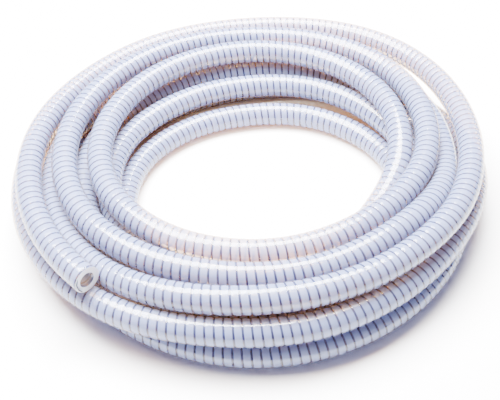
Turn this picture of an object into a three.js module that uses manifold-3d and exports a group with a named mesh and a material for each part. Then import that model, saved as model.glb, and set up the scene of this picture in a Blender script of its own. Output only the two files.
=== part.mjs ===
// Wire reinforced silicone hose: one length of 9.3 m, wound into a loose coil that lies flat on the floor.
// Millimetres, +Z up. The coil's axis stands on the floor, and the viewer stands at -Y.
// The turns lie in three layers, and the lower layers have slid to the front and to the right. The
// outermost turn of the top layer is loose, and ends in the open cut end.

import * as THREE from 'three';
import { mergeVertices } from 'three/addons/utils/BufferGeometryUtils.js';
import Module from 'manifold-3d';

const wasm = await Module();
wasm.setup();

// The hose
const HOSE_OD = 22.2; // outside diameter
const HOSE_BORE = 12.7; // inside diameter
const WIRE_DIAMETER = 1.0; // steel wire wound into the wall
const WIRE_PITCH = 6.7; // distance from one winding of the wire to the next
const WIRE_COVER = 1.2; // silicone between the wire and the outside
const WIRE_CLEARANCE = 0.3; // room round the wire in its channel
const WIRE_END_WINDINGS = 3; // windings of wire modelled behind the cut end
const WIRE_TIP = 1.2; // how far the wire's end stands out of the cut face

// The coil
const TURN_GAP = 0.3; // clearance between the loose turn and the turns it lies on
const LAYER_SINK = 1.2; // how far a layer sinks between the turns under it
const OVAL_ANGLE = THREE.MathUtils.degToRad(35); // the coil is longest along this bearing

// The packed turns: each one's mean radius, how far it has slid to the right and to the back, and how
// much longer than round it is. They go round the coil's section, from the bottom layer's inner turn.
const PACKED_TURNS = {
  bottomInner: { layer: 0, radius: 122, right: 14, back: -33, oval: 0 },
  bottomMiddle: { layer: 0, radius: 151, right: 8, back: -24, oval: 0 },
  bottomOuter: { layer: 0, radius: 180, right: 2, back: -15, oval: 0 },
  middleOuter: { layer: 1, radius: 190, right: 0, back: -2, oval: 8 },
  middleNext: { layer: 1, radius: 169, right: 0, back: -4, oval: 8 },
  topNext: { layer: 2, radius: 159, right: -2, back: 0, oval: 5 },
  topInner: { layer: 2, radius: 133, right: 2, back: 0, oval: 3 },
  middleInner: { layer: 1, radius: 126, right: 8, back: -18, oval: 0 },
};

// The loose turn: its radius and height at bearings 45 degrees apart, clockwise seen from above. It
// starts at the open cut end, left front, and sinks under its own end after one turn. The first and
// last places lie beyond its ends and only set its direction there.
const LOOSE_TURN_RADIUS = [201, 196.5, 187.5, 176, 182, 200.5, 192.3, 180.5, 178, 178, 172];
const LOOSE_TURN_HEIGHT = [54.4, 54.4, 54.4, 53.2, 51.2, 54, 54.4, 53.4, 52.3, 41, 32.1];
const LOOSE_TURN_FIRST = THREE.MathUtils.degToRad(270); // bearing of the first place
const LOOSE_TURN_STEP = THREE.MathUtils.degToRad(45); // from one place to the next
const CUT_END_ANGLE = THREE.MathUtils.degToRad(235); // bearing of the open end
const TAIL_END = THREE.MathUtils.degToRad(-160); // where the coil's turned body takes over

// How finely the curved surfaces are cut into flats
const LOBE_STEP = THREE.MathUtils.degToRad(30);
const RING_STEPS = 60;
const HOSE_SIDES = 12;
const TURN_STEPS = 60;
const WIRE_SIDES = 8;
const WIRE_STEPS = 24; // for each winding

const hoseRadius = HOSE_OD / 2;
const layerRise = HOSE_OD - LAYER_SINK;
const layerHeight = (layer) => hoseRadius + layer * layerRise;

// How much farther out than its mean radius a packed turn lies, at a bearing
function strays(turn, angle) {
  return turn.right * Math.cos(angle) + turn.back * Math.sin(angle)
    + turn.oval * Math.cos(2 * (angle - OVAL_ANGLE));
}

function solidOf(geometry) {
  const bare = geometry.clone();
  bare.deleteAttribute('normal');
  bare.deleteAttribute('uv');
  const merged = mergeVertices(bare, 1e-4);
  return new wasm.Manifold(new wasm.Mesh({
    numProp: 3,
    vertProperties: new Float32Array(merged.attributes.position.array),
    triVerts: new Uint32Array(merged.index.array),
  }));
}

function geometryOf(solid) {
  const mesh = solid.getMesh();
  const geometry = new THREE.BufferGeometry();
  geometry.setAttribute('position', new THREE.BufferAttribute(mesh.vertProperties, 3));
  geometry.setIndex(new THREE.BufferAttribute(mesh.triVerts, 1));
  geometry.computeVertexNormals();
  return geometry;
}

// A cut can leave a crumb at the thin edge of a groove, which the real hose doesn't have
function largestPiece(solid) {
  return solid.decompose().reduce((a, b) => (a.volume() > b.volume() ? a : b));
}

function circlePath(path, radius, sides) {
  for (let i = 0; i <= sides; i += 1) {
    const a = (i / sides) * 2 * Math.PI;
    if (i === 0) path.moveTo(radius, 0);
    else path.lineTo(radius * Math.cos(a), radius * Math.sin(a));
  }
  return path;
}

// A round bar or tube along a curve; a bore of 0 leaves it solid
function tubeAlong(curve, radius, bore, sides, steps) {
  const section = circlePath(new THREE.Shape(), radius, sides);
  if (bore > 0) section.holes.push(circlePath(new THREE.Path(), bore / 2, sides));
  return new THREE.ExtrudeGeometry(section, { steps, bevelEnabled: false, extrudePath: curve });
}

// The turned body's outline: the outer arcs of the turns at its edge, in order round the section.
// Between two neighbours the groove is filled to the point where each arc is VALLEY from their line.
const VALLEY = THREE.MathUtils.degToRad(30);

function lobedOutline(turns) {
  const outline = [];
  const owners = []; // the turn that each point of the outline belongs to
  const centres = turns.map((turn) => new THREE.Vector2(turn.radius, layerHeight(turn.layer)));
  centres.forEach((centre, i) => {
    const previous = centres[(i + centres.length - 1) % centres.length];
    const next = centres[(i + 1) % centres.length];
    const into = Math.atan2(centre.y - previous.y, centre.x - previous.x);
    let outOf = Math.atan2(next.y - centre.y, next.x - centre.x);
    while (outOf < into - Math.PI / 2) outOf += 2 * Math.PI;
    while (outOf > into + Math.PI * 1.5) outOf -= 2 * Math.PI;
    const from = into - Math.PI + VALLEY;
    const to = outOf - VALLEY;
    const angles = [from];
    // Flats at fixed angles, so that every bottom turn stands on a level one
    const first = Math.ceil(from / LOBE_STEP - 0.5) + 0.5;
    for (let k = first; k * LOBE_STEP < to - LOBE_STEP / 4; k += 1) {
      if (k * LOBE_STEP > from + LOBE_STEP / 4) angles.push(k * LOBE_STEP);
    }
    angles.push(to);
    for (const a of angles) {
      outline.push(new THREE.Vector2(
        centre.x + hoseRadius * Math.cos(a),
        centre.y + hoseRadius * Math.sin(a),
      ));
      owners.push(turns[i]);
    }
  });
  outline.push(outline[0].clone());
  owners.push(owners[0]);
  return { outline, owners };
}

// The coil's turned body: all the turns but the loose one
function turnedBody() {
  const { outline, owners } = lobedOutline(Object.values(PACKED_TURNS));
  const ring = new THREE.LatheGeometry(outline, RING_STEPS);
  ring.rotateX(Math.PI / 2); // the lathe's axis is Y, and the coil's is Z
  const place = ring.attributes.position;
  const point = new THREE.Vector3();
  for (let i = 0; i < place.count; i += 1) {
    point.fromBufferAttribute(place, i);
    const angle = Math.atan2(point.y, point.x);
    const radius = Math.hypot(point.x, point.y) + strays(owners[i % owners.length], angle);
    place.setXYZ(i, radius * Math.cos(angle), radius * Math.sin(angle), point.z);
  }
  return ring;
}

// The value between the places of a list, on a smooth curve through them
function between(list, position) {
  const i = THREE.MathUtils.clamp(Math.floor(position), 1, list.length - 3);
  const t = position - i;
  const [a, b, c, d] = list.slice(i - 1, i + 3);
  return b + 0.5 * t * (c - a + t * (2 * a - 5 * b + 4 * c - d + t * (3 * (b - c) + d - a)));
}

function looseTurnAt(angle) {
  const position = (LOOSE_TURN_FIRST - angle) / LOOSE_TURN_STEP;
  const radius = between(LOOSE_TURN_RADIUS, position);
  return new THREE.Vector3(
    radius * Math.cos(angle),
    radius * Math.sin(angle),
    between(LOOSE_TURN_HEIGHT, position),
  );
}

// The loose turn's centre line
class LooseTurn extends THREE.Curve {
  constructor(from, to) {
    super();
    this.from = from;
    this.to = to;
  }

  getPoint(t) {
    return looseTurnAt(THREE.MathUtils.lerp(this.from, this.to, t));
  }
}

// The wire winds round the loose turn's centre line, close under the hose's outside
const wireRadius = hoseRadius - WIRE_COVER - WIRE_DIAMETER / 2;
const WIRE_END_ANGLE = THREE.MathUtils.degToRad(215); // where the wire comes out, seen on the cut face

const cutEndRadius = Math.hypot(looseTurnAt(CUT_END_ANGLE).x, looseTurnAt(CUT_END_ANGLE).y);

class WireWinding extends THREE.Curve {
  constructor(start, length) {
    super();
    this.start = start; // distance behind the cut face, negative in front of it
    this.length = length;
  }

  getPoint(t) {
    const behind = this.start + t * this.length;
    const angle = CUT_END_ANGLE - behind / cutEndRadius;
    const centre = looseTurnAt(angle);
    const ahead = looseTurnAt(angle - 0.001).sub(centre).normalize();
    const up = new THREE.Vector3(0, 0, 1);
    const side = new THREE.Vector3().crossVectors(up, ahead);
    const a = WIRE_END_ANGLE + (2 * Math.PI * behind) / WIRE_PITCH;
    return centre.addScaledVector(side, wireRadius * Math.cos(a)).addScaledVector(up, wireRadius * Math.sin(a));
  }
}

const looseTurn = new LooseTurn(CUT_END_ANGLE, TAIL_END);
const looseHose = tubeAlong(looseTurn, hoseRadius, HOSE_BORE, HOSE_SIDES, TURN_STEPS);

// The coil's body keeps a groove for the loose turn, all along it and a little past its ends
const lead = TURN_GAP / cutEndRadius;
const groove = tubeAlong(
  new LooseTurn(CUT_END_ANGLE + lead, TAIL_END - lead), hoseRadius + TURN_GAP, 0, HOSE_SIDES, TURN_STEPS,
);
const coiledHose = largestPiece(solidOf(turnedBody()).subtract(solidOf(groove)));

// The wire, and its channel in the wall, which comes out at the cut face
const wireLength = WIRE_END_WINDINGS * WIRE_PITCH;
const wire = tubeAlong(
  new WireWinding(-WIRE_TIP, WIRE_TIP + wireLength),
  WIRE_DIAMETER / 2, 0, WIRE_SIDES, WIRE_STEPS * WIRE_END_WINDINGS,
);
const channelLead = WIRE_PITCH / 2;
const channel = tubeAlong(
  new WireWinding(-channelLead, channelLead + wireLength + WIRE_CLEARANCE),
  WIRE_DIAMETER / 2 + WIRE_CLEARANCE, 0, WIRE_SIDES, WIRE_STEPS * WIRE_END_WINDINGS,
);
const channelledHose = solidOf(looseHose).subtract(solidOf(channel));

const silicone = new THREE.MeshStandardMaterial({ color: 0xe4e9f5, roughness: 0.25, metalness: 0 });
const steel = new THREE.MeshStandardMaterial({ color: 0x5a6070, roughness: 0.4, metalness: 0.9 });

const coil = new THREE.Group();

function addPiece(name, geometry, material) {
  const piece = new THREE.Mesh(geometry, material);
  piece.name = name;
  coil.add(piece);
}

addPiece('coiled_turns', geometryOf(coiledHose), silicone);
addPiece('top_turn', geometryOf(channelledHose), silicone);
addPiece('wire_end', wire, steel);

// The coil stands on the floor, over the middle of its own box
const box = new THREE.Box3().setFromObject(coil);
coil.position.set(-(box.min.x + box.max.x) / 2, -(box.min.y + box.max.y) / 2, -box.min.z);

export default coil;
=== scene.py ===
"""Wire reinforced silicone hose: one length, wound into a loose coil that lies on a pale floor."""
import math

import bmesh
import bpy
import numpy as np
from mathutils import Matrix, Vector


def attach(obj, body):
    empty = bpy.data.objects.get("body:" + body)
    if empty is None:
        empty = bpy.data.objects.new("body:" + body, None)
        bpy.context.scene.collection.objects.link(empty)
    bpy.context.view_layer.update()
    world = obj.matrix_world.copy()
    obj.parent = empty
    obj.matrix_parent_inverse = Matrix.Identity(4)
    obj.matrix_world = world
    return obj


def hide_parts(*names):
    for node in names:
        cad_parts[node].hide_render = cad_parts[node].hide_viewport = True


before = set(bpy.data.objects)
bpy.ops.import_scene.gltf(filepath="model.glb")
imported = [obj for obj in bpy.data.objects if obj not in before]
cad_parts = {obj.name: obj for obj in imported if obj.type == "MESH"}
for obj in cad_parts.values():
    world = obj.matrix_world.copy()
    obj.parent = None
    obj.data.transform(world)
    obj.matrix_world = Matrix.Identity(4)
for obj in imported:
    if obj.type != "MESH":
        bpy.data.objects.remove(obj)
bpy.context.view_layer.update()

MM = 0.001

# The hose, in metres, as the solids have it
HOSE_OD = 22.2 * MM
HOSE_BORE = 12.7 * MM
WIRE_DIAMETER = 1.0 * MM
WIRE_PITCH = 6.7 * MM
WIRE_COVER = 1.2 * MM
WIRE_TIP = 1.2 * MM
WIRE_END_ANGLE = math.radians(20)  # where the wire comes out of the cut end, on the outer side
HOSE_RADIUS = HOSE_OD / 2
FULL_TURN = 2 * math.pi
TOUCHING = 0.01 * MM  # points closer than this are one point

# The coil's centre line: radius and height in millimetres at bearings 45 degrees apart, clockwise
# seen from above, from the left front (225 degrees) round to the front (-90 degrees)
BEARING_STEP = math.radians(45)
FIRST_BEARING = math.radians(270)
CUT_END_BEARING = math.radians(235)
FAR_END_BEARING = math.radians(84 - 9 * 360)
COIL_CENTRE = (0.14 * MM, 4.59 * MM)
LOW, MID, TOP = 11.1, 32.3, 53.6  # heights of the three layers' centre lines

BEFORE_THE_CUT_END = [(201, 54.4)]
TURNS = [
    # The loose turn, from the cut end to the front
    [
        (196.5, 54.4), (187.5, 54.4), (176, 52), (182, 51.2),
        (200.5, 54), (192.3, 54.4), (180.5, 53.4), (178, 52.3),
    ],
    # It goes under its own end, round in the middle layer, and rises inside the loose turn
    [(178, 40), (172, MID), (160, MID), (161, MID), (183, MID), (173, 35), (160, 45), (157.3, 53)],
    # The second turn of the top layer, which crosses inwards at the right
    [
        (161.5, TOP), (160.5, TOP), (160.5, TOP), (159.4, TOP),
        (170.5, TOP), (157, TOP), (138.5, TOP), (134.1, TOP),
    ],
    # The inner turn of the top layer, which dives inside the coil to the bottom
    [(133.3, TOP), (130.2, TOP), (129.2, TOP), (133, TOP), (139.5, TOP), (134, 49), (124, 24), (138, LOW)],
    # The inner turn of the bottom layer, which rises to the middle at the front
    [(128, LOW), (107.5, LOW), (89, LOW), (87, LOW), (108, LOW), (136.5, LOW), (146, 23), (149, MID)],
    # The inner turn of the middle layer
    [(136, MID), (121.5, MID), (107, MID), (108, MID), (128.5, MID), (147, MID), (164, MID), (170, MID)],
    # The next turn of the middle layer, which comes down to the bottom at the back right
    [(158, MID), (144, MID), (130.5, MID), (131, MID), (148, 28), (161, LOW), (168, LOW), (173, LOW)],
    # The next turn of the bottom layer, which moves outwards
    [(152, LOW), (137, LOW), (125, LOW), (130, LOW), (160, LOW), (188, LOW), (193, LOW), (195.5, LOW)],
    # The outer turn of the bottom layer, which rises to the middle layer at the right
    [(185, LOW), (172, LOW), (160, LOW), (166, LOW), (186, LOW), (192, 18), (190, 31.5), (191.7, 33)],
    # The outer turn of the middle layer, which ends at the back
    [(200.5, 33), (196.6, MID), (187, MID), (188, MID)],
]
BEYOND_THE_FAR_END = [(192, MID), (192, MID)]
PLAN_STEP = math.radians(2)


def between(places, position):
    """The radius and height at a position between the places, on a smooth curve through them."""
    i = min(max(int(math.floor(position)), 1), len(places) - 3)
    t = position - i
    a, b, c, d = (np.array(places[k], float) for k in range(i - 1, i + 3))
    return b + 0.5 * t * (c - a + t * (2 * a - 5 * b + 4 * c - d + t * (3 * (b - c) + d - a)))


def planned_route():
    """The centre line by equal steps of bearing, before the turns settle on each other."""
    places = BEFORE_THE_CUT_END + [place for turn in TURNS for place in turn] + BEYOND_THE_FAR_END
    steps = int((CUT_END_BEARING - FAR_END_BEARING) / PLAN_STEP)
    route = []
    for bearing in np.linspace(CUT_END_BEARING, FAR_END_BEARING, steps + 1):
        radius, height = between(places, (FIRST_BEARING - bearing) / BEARING_STEP) * MM
        x = COIL_CENTRE[0] + radius * math.cos(bearing)
        y = COIL_CENTRE[1] + radius * math.sin(bearing)
        route.append((x, y, height))
    return np.array(route)


def spaced(route, gap):
    """The same line with points a fixed distance apart, or a little less."""
    lengths = np.linalg.norm(np.diff(route, axis=0), axis=1)
    run = np.concatenate([[0], np.cumsum(lengths)])
    marks = np.linspace(0, run[-1], int(math.ceil(run[-1] / gap)) + 1)
    return np.stack([np.interp(marks, run, route[:, k]) for k in range(3)], 1)


def smoothed(values, reach):
    """A running mean along the hose."""
    kernel = np.hanning(2 * reach + 3)[1:-1]
    kernel /= kernel.sum()
    padded = np.pad(values, ((reach, reach), (0, 0)), mode="edge")
    return np.stack([np.convolve(padded[:, k], kernel, "valid") for k in range(3)], 1)


SETTLE_GAP = 12 * MM  # the distance between the points that are settled
SETTLE_STEPS = 150
SAME_STRETCH = 8  # points of the hose nearer than this to each other can't touch
BESIDE = 0.6 * SETTLE_GAP  # how far along the hose a point still presses on another
SAG = 0.03 * MM  # how far gravity lowers a turn in one step, where nothing holds it
STRAYING = 0.02  # how strongly a turn is drawn back to its planned place, as a share of the way


def settled(route):
    """The turns pushed apart where they would cut into each other, and let down on each other."""
    planned = spaced(route, SETTLE_GAP)
    moved = np.zeros_like(planned)
    order = np.arange(len(planned))
    apart = np.abs(order[:, None] - order[None, :]) > SAME_STRETCH
    for _ in range(SETTLE_STEPS):
        line = planned + moved
        ahead = np.gradient(line, axis=0)
        ahead /= np.linalg.norm(ahead, axis=1, keepdims=True)
        offset = line[:, None, :] - line[None, :, :]
        along = np.einsum("ijk,jk->ij", offset, ahead)
        across = offset - along[:, :, None] * ahead[None, :, :]
        distance = np.linalg.norm(across, axis=2)
        touching = apart & (np.abs(along) < BESIDE) & (distance < HOSE_OD)
        push = np.where(touching, (HOSE_OD - distance) / np.maximum(distance, 1e-9), 0)
        shift = 0.5 * np.einsum("ij,ijk->ik", push, across)
        shift[:, 2] -= SAG
        shift -= STRAYING * moved
        moved = smoothed(moved + shift, 1)
        moved[:, 2] = np.maximum(moved[:, 2], HOSE_RADIUS - planned[:, 2])
    return planned + moved


def frames_along(line):
    """Unit vectors ahead, to the side and up at each point."""
    ahead = np.gradient(line, axis=0)
    ahead /= np.linalg.norm(ahead, axis=1, keepdims=True)
    side = np.cross([0, 0, 1], ahead)
    side /= np.linalg.norm(side, axis=1, keepdims=True)
    return ahead, side, np.cross(ahead, side)


class Route:
    """The hose's centre line, read by the distance from the cut end."""

    def __init__(self, line):
        self.line = line
        self.ahead, self.side, self.up = frames_along(line)
        lengths = np.linalg.norm(np.diff(line, axis=0), axis=1)
        self.run = np.concatenate([[0], np.cumsum(lengths)])
        self.length = float(self.run[-1])

    def at(self, values, s):
        """Values at distances s; past the two ends the hose would run straight on."""
        return np.stack([np.interp(s, self.run, values[:, k]) for k in range(3)], -1)

    def place(self, s, angle, radius):
        """Points at distance s along the hose, at an angle round it and a radius from its centre."""
        beyond = s - np.clip(s, 0, self.length)
        centre = self.at(self.line, s) + beyond[..., None] * self.at(self.ahead, s)
        out = np.cos(angle)[..., None] * self.at(self.side, s)
        out = out + np.sin(angle)[..., None] * self.at(self.up, s)
        return centre + radius[..., None] * out


ROUTE_GAP = 1.5 * MM


def smooth_route(line):
    """A finer line through the settled points."""
    fine = spaced(smoothed(line, 2), ROUTE_GAP)
    return smoothed(fine, 6)


SHARES = "round_and_along"  # the map that keeps each point's shares round the hose and along it


def rolled_sheet(columns, rows, place):
    """A flat grid rolled up: place gives each point from its column and row, as shares of 0 to 1."""
    bm = bmesh.new()
    bm.loops.layers.uv.new(SHARES)
    bmesh.ops.create_grid(bm, x_segments=columns, y_segments=rows, size=0.5, calc_uvs=True)
    flat = np.array([v.co for v in bm.verts])
    spots = place(flat[:, 0] + 0.5, flat[:, 1] + 0.5)
    for vertex, spot in zip(bm.verts, spots):
        vertex.co = spot
    return bm


route = Route(smooth_route(settled(planned_route())))

# The hose's surface
WINDINGS = route.length / WIRE_PITCH
STRIPS = 3  # strips of faces from one winding of the wire to the next
SIDES = 18
WINDINGS_PER_BORE_STRIP = 2
BULGE = 0.25 * MM  # how far the silicone stands out between the windings
RELIEF = 0.12 * MM  # the same, where only the light shows it
BORE_TURN = 1  # the bore's shares round the hose start one turn on, which tells it from the outside
CUT_TURN = 2  # and the cut faces' two turns on
IN_THE_CUT = (WIRE_END_ANGLE / FULL_TURN + CUT_TURN + 0.5, 0)  # half way between two windings


def winding_phase(s, angle):
    """How many windings of the wire lie between the cut end and a point of the hose."""
    return s / WIRE_PITCH - (angle - WIRE_END_ANGLE) / FULL_TURN


def outer_radius(s, angle):
    """The hose's radius, which is a little less over the wire."""
    return HOSE_RADIUS - BULGE * (0.5 + 0.5 * np.cos(FULL_TURN * winding_phase(s, angle)))


def outer_wall():
    rows = int(round(WINDINGS * STRIPS))

    def place(across, along):
        angle = across * FULL_TURN
        s = along * route.length
        return route.place(s, angle, outer_radius(s, angle))

    return rolled_sheet(SIDES, rows, place)


def bore_wall():
    rows = int(round(WINDINGS / WINDINGS_PER_BORE_STRIP))

    def place(across, along):
        s = along * route.length
        return route.place(s, across * FULL_TURN, np.full_like(s, HOSE_BORE / 2))

    bore = rolled_sheet(SIDES, rows, place)
    for face in bore.faces:
        for loop in face.loops:
            loop[bore.loops.layers.uv[SHARES]].uv.x += BORE_TURN
    return bore


def mesh_object(name, bm, material):
    mesh = bpy.data.meshes.new(name)
    bm.to_mesh(mesh)
    bm.free()
    piece = bpy.data.objects.new(name, mesh)
    bpy.context.scene.collection.objects.link(piece)
    mesh.materials.append(material)
    return piece


def principled(name, colour, roughness):
    material = bpy.data.materials.new(name)
    material.use_nodes = True
    shader = material.node_tree.nodes["Principled BSDF"]
    shader.inputs["Base Color"].default_value = (*colour, 1)
    shader.inputs["Roughness"].default_value = roughness
    return material, shader


def maths(tree, operation, *values):
    """One step of arithmetic in a material, on numbers or on what other steps give."""
    step = tree.nodes.new("ShaderNodeMath")
    step.operation = operation
    for socket, value in zip(step.inputs, values):
        if isinstance(value, (int, float)):
            socket.default_value = value
        else:
            tree.links.new(value, socket)
    return step.outputs[0]


def ramp(tree, value, low, high, start, end):
    """A smooth change from start to end, as the value goes from low to high."""
    step = tree.nodes.new("ShaderNodeMapRange")
    step.interpolation_type = "SMOOTHSTEP"
    tree.links.new(value, step.inputs["Value"])
    for socket, number in (("From Min", low), ("From Max", high), ("To Min", start), ("To Max", end)):
        step.inputs[socket].default_value = number
    return step.outputs["Result"]


def blend(tree, share, first, second):
    """The first colour, or the second where the share is one."""
    step = tree.nodes.new("ShaderNodeMix")
    step.data_type = "RGBA"
    tree.links.new(share, step.inputs["Factor"])
    for socket, colour in ((step.inputs[6], first), (step.inputs[7], second)):
        if isinstance(colour, tuple):
            socket.default_value = (*colour, 1)
        else:
            tree.links.new(colour, socket)
    return step.outputs[2]


# Colours as the light leaves them, and how much of the light goes through each face
MILK = (0.25, 0.31, 0.55)
WIRE_THROUGH_MILK = (0.004, 0.01, 0.08)
WARM_LIGHT_THROUGH = (0.93, 0.75, 0.55)
CLEAR_SHARE = 0.5
CLEAR_SHARE_IN_BORE = 0.6
CUT_FACE = (0.92, 0.94, 1)
CLEAR_SHARE_IN_CUT = 0.15
OVER_WIRE = (0.62, 0.86)  # the wave is 1 over the wire's middle, and -1 half way to the next winding
BESIDE_WIRE = (0.95, -0.6)
WIRE_LINES_IN_PAINTED_TOP_LIGHT = 0.8  # how strongly the painted wire lines show on top of the hose, faded there as painted light from above; lower down, in painted shade, it is 1
PAINTED_TOP_LIGHT_HEIGHTS = (0.98, 0.5)  # heights of the hose's top and of its sides, as shares of its radius, over which the painted top light on the wire lines gives way to painted shade
JUST_PAST = 0.0001


def silicone_material():
    """Milky silicone, which lets warm light through and shows the wire that is wound into it, with the
    wire lines painted fainter on the hose's top as painted light and darker down its sides as painted
    shade.
    """
    material, shader = principled("milky_silicone", MILK, 0.13)
    tree = material.node_tree
    shares = tree.nodes.new("ShaderNodeUVMap")
    shares.uv_map = SHARES
    parts = tree.nodes.new("ShaderNodeSeparateXYZ")
    tree.links.new(shares.outputs["UV"], parts.inputs[0])
    turned = maths(tree, "SUBTRACT", WIRE_END_ANGLE / FULL_TURN, parts.outputs["X"])
    windings = maths(tree, "MULTIPLY_ADD", parts.outputs["Y"], WINDINGS, turned)
    wave = maths(tree, "COSINE", maths(tree, "MULTIPLY", windings, FULL_TURN))
    height = maths(tree, "SINE", maths(tree, "MULTIPLY", parts.outputs["X"], FULL_TURN))
    over_wire = ramp(tree, wave, *OVER_WIRE, 0, 1)
    # painted light and shade: the wire lines are painted fainter on the hose's top and stronger down its
    # sides and underneath
    painted_light_on_wire_lines = ramp(tree, height, *PAINTED_TOP_LIGHT_HEIGHTS, WIRE_LINES_IN_PAINTED_TOP_LIGHT, 1)
    in_bore = maths(tree, "GREATER_THAN", parts.outputs["X"], BORE_TURN + JUST_PAST)
    in_cut = maths(tree, "GREATER_THAN", parts.outputs["X"], CUT_TURN + JUST_PAST)
    colour = blend(tree, maths(tree, "MULTIPLY", over_wire, painted_light_on_wire_lines), MILK, WIRE_THROUGH_MILK)
    tree.links.new(blend(tree, in_cut, colour, CUT_FACE), shader.inputs["Base Color"])
    bump = tree.nodes.new("ShaderNodeBump")
    bump.inputs["Strength"].default_value = 1
    bump.inputs["Distance"].default_value = RELIEF
    tree.links.new(ramp(tree, wave, *BESIDE_WIRE, 0, 1), bump.inputs["Height"])
    tree.links.new(bump.outputs["Normal"], shader.inputs["Normal"])
    shader.inputs["IOR"].default_value = 1.41
    shader.inputs["Coat Weight"].default_value = 1
    shader.inputs["Coat Roughness"].default_value = 0.1
    shader.inputs["Subsurface Weight"].default_value = 0.15
    shader.inputs["Subsurface Radius"].default_value = (1.0, 0.6, 0.4)
    shader.inputs["Subsurface Scale"].default_value = 4 * MM
    clear = tree.nodes.new("ShaderNodeBsdfTransparent")
    clear.inputs["Color"].default_value = (*WARM_LIGHT_THROUGH, 1)
    mix = tree.nodes.new("ShaderNodeMixShader")
    past_wall = ramp(tree, in_bore, 0, 1, CLEAR_SHARE, CLEAR_SHARE_IN_BORE)
    past_cut = ramp(tree, in_cut, 0, 1, 1, CLEAR_SHARE_IN_CUT / CLEAR_SHARE_IN_BORE)
    tree.links.new(maths(tree, "MULTIPLY", past_wall, past_cut), mix.inputs["Fac"])
    tree.links.new(shader.outputs[0], mix.inputs[1])
    tree.links.new(clear.outputs[0], mix.inputs[2])
    tree.links.new(mix.outputs[0], tree.nodes["Material Output"].inputs["Surface"])
    return material


def steel_material():
    material, shader = principled("drawn_steel", (0.03, 0.035, 0.07), 0.4)
    shader.inputs["Metallic"].default_value = 0.2
    return material


def cut_face(walls, middle):
    """The flat ring of wall at an end of the hose, from the outer rim in to the bore's."""
    rim = [edge for edge in walls.edges if edge.is_boundary]
    rim = [edge for edge in rim if (edge.verts[0].co - middle).length < HOSE_OD]
    ring = bmesh.ops.extrude_edge_only(walls, edges=rim)["geom"]
    for vertex in (part for part in ring if isinstance(part, bmesh.types.BMVert)):
        vertex.co = middle + (vertex.co - middle).normalized() * HOSE_BORE / 2
    for face in (part for part in ring if isinstance(part, bmesh.types.BMFace)):
        face.smooth = False
        for loop in face.loops:
            loop[walls.loops.layers.uv[SHARES]].uv = IN_THE_CUT


def make_hose():
    """The outside, the two cut faces and the bore, as one closed piece."""
    walls = outer_wall()
    bmesh.ops.remove_doubles(walls, verts=walls.verts, dist=TOUCHING)
    for face in walls.faces:
        face.smooth = True
    cut_face(walls, Vector(route.line[0]))
    cut_face(walls, Vector(route.line[-1]))
    inner = bore_wall()
    for face in inner.faces:
        face.smooth = True
    spare = bpy.data.meshes.new("bore")
    inner.to_mesh(spare)
    inner.free()
    walls.from_mesh(spare)
    bpy.data.meshes.remove(spare)
    bmesh.ops.remove_doubles(walls, verts=walls.verts, dist=TOUCHING)
    bmesh.ops.recalc_face_normals(walls, faces=walls.faces)
    return mesh_object("hose", walls, silicone_material())


WIRE_RADIUS = HOSE_RADIUS - WIRE_COVER - WIRE_DIAMETER / 2
WIRE_STEPS = 13  # for each winding
WIRE_SIDES = 5


def make_wire():
    """The wire, wound round the centre line inside the wall, with its tip out of the cut end."""
    rows = int(round(WINDINGS * WIRE_STEPS))
    s = np.linspace(-WIRE_TIP, route.length, rows + 1)
    angle = WIRE_END_ANGLE + FULL_TURN * s / WIRE_PITCH
    centre = route.place(s, angle, np.full_like(s, WIRE_RADIUS))
    ahead = np.gradient(centre, axis=0)
    ahead /= np.linalg.norm(ahead, axis=1, keepdims=True)
    out = centre - route.place(s, angle, np.zeros_like(s))
    out -= np.einsum("ij,ij->i", out, ahead)[:, None] * ahead
    out /= np.linalg.norm(out, axis=1, keepdims=True)
    side = np.cross(ahead, out)

    def place(across, along):
        row = np.clip(np.round(along * rows).astype(int), 0, rows)
        turn = -across * FULL_TURN
        rim = np.cos(turn)[:, None] * out[row] + np.sin(turn)[:, None] * side[row]
        return centre[row] + rim * WIRE_DIAMETER / 2

    bm = rolled_sheet(WIRE_SIDES, rows, place)
    bmesh.ops.remove_doubles(bm, verts=bm.verts, dist=TOUCHING)
    for face in bm.faces:
        face.smooth = True
    bmesh.ops.holes_fill(bm, edges=[edge for edge in bm.edges if edge.is_boundary], sides=WIRE_SIDES)
    bmesh.ops.recalc_face_normals(bm, faces=bm.faces)
    return mesh_object("wire", bm, steel_material())


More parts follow.
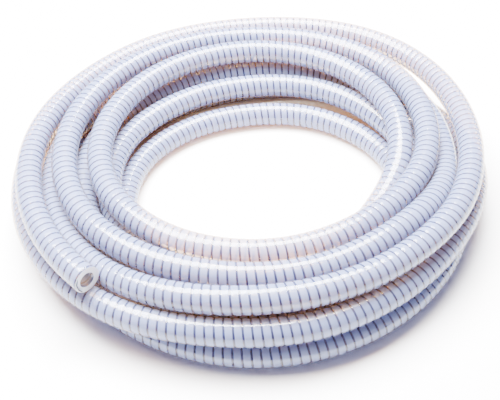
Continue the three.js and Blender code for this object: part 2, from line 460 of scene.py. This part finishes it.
# The camera stands where the photograph was taken from
CAMERA_ELEVATION = math.radians(44.4)
CAMERA_ROLL = math.radians(-0.62)
CAMERA_DISTANCE = 29.9 * HOSE_OD
CAMERA_AIM = Vector((COIL_CENTRE[0], COIL_CENTRE[1] - 2.54 * HOSE_OD, 1.5 * HOSE_OD))
FRAME_WIDTH = 500
FOCAL_PIXELS = 788
SENSOR_WIDTH = 36


def make_camera():
    data = bpy.data.cameras.new("camera")
    data.sensor_width = SENSOR_WIDTH
    data.lens = FOCAL_PIXELS / FRAME_WIDTH * data.sensor_width
    camera = bpy.data.objects.new("camera", data)
    bpy.context.scene.collection.objects.link(camera)
    tilt = Matrix.Rotation(math.pi / 2 - CAMERA_ELEVATION, 4, "X")
    roll = Matrix.Rotation(CAMERA_ROLL, 4, "Z")
    turned = tilt @ roll
    back = turned.to_3x3() @ Vector((0, 0, 1))
    camera.matrix_world = Matrix.Translation(CAMERA_AIM + back * CAMERA_DISTANCE) @ turned
    bpy.context.scene.camera = camera


FLOOR_HALF_WIDTH = 4  # metres


def make_floor():
    bm = bmesh.new()
    bmesh.ops.create_grid(bm, x_segments=1, y_segments=1, size=FLOOR_HALF_WIDTH)
    floor = mesh_object("floor", bm, principled("pale_floor", (0.9, 0.9, 0.92), 0.6)[0])


def soft_light(name, place, aim, size, power, colour):
    """A flat lamp of a given width and length in metres, turned to what it aims at."""
    data = bpy.data.lights.new(name, "AREA")
    data.shape = "RECTANGLE"
    data.size, data.size_y = size
    data.energy = power
    data.color = colour
    lamp = bpy.data.objects.new(name, data)
    bpy.context.scene.collection.objects.link(lamp)
    lamp.location = place
    lamp.rotation_euler = (Vector(aim) - Vector(place)).to_track_quat("-Z", "Y").to_euler()


def make_lights():
    world = bpy.data.worlds.new("studio")
    bpy.context.scene.world = world
    world.use_nodes = True
    sky = world.node_tree.nodes["Background"]
    sky.inputs["Color"].default_value = (0.58, 0.6, 1, 1)
    sky.inputs["Strength"].default_value = 0.6
    soft_light("overhead", (-0.15, 0.3, 1.0), (0, 0, 0), (1.1, 0.6), 300, (1, 0.99, 0.97))


make_camera()
make_floor()
make_lights()

hose = make_hose()
wire = make_wire()
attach(hose, "root")
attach(wire, "root")
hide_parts("coiled_turns", "top_turn")
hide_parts("wire_end")
